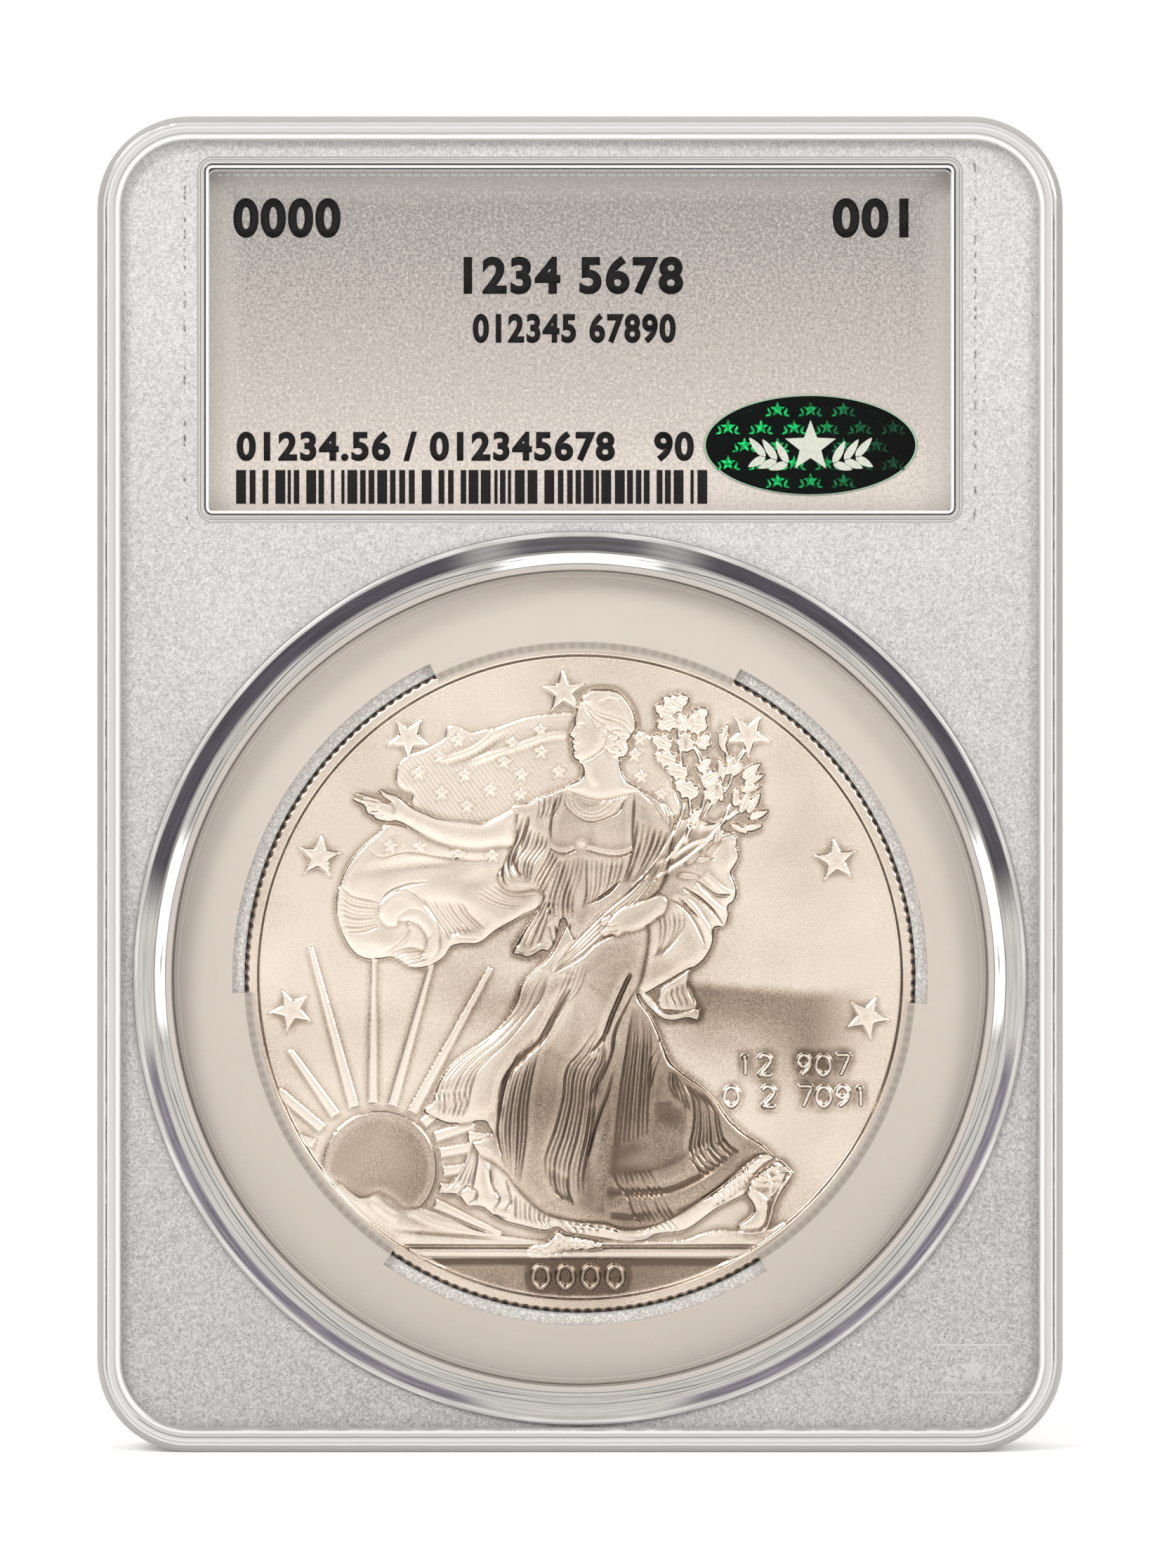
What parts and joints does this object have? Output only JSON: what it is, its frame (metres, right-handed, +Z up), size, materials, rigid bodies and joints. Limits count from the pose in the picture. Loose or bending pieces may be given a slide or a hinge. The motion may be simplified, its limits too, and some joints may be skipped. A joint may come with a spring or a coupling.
{
  "type": "graded coin slab",
  "caption": "Sealed clear plastic case that holds a reeded silver coin in a pronged insert ring below a printed label card with an oval foil seal.",
  "frame": {"origin": "middle of the slab's bottom edge, on the weld plane between the two shells", "axes": "+Z up along the slab's height, +X to the right seen from the front, -Y out of the front face"},
  "size_m": [0.0582, 0.008, 0.0806],
  "materials": {
    "clear_front": "clear polystyrene, polished over the coin and the label and finely frosted elsewhere",
    "clear_back": "clear polystyrene, polished over the coin and the label and finely frosted elsewhere",
    "insert": "milky translucent, smooth",
    "silver": "satin struck silver with a warm cast",
    "label": "matt print, grey at the top fading to warm white",
    "foil": "dark green holographic foil"
  },
  "bodies": {
    "root": {"front_shell": "clear_front", "back_shell": "clear_back", "coin_insert": "insert", "coin": "silver", "label_card": "label", "foil_seal": "foil"}
  },
  "joints": []
}
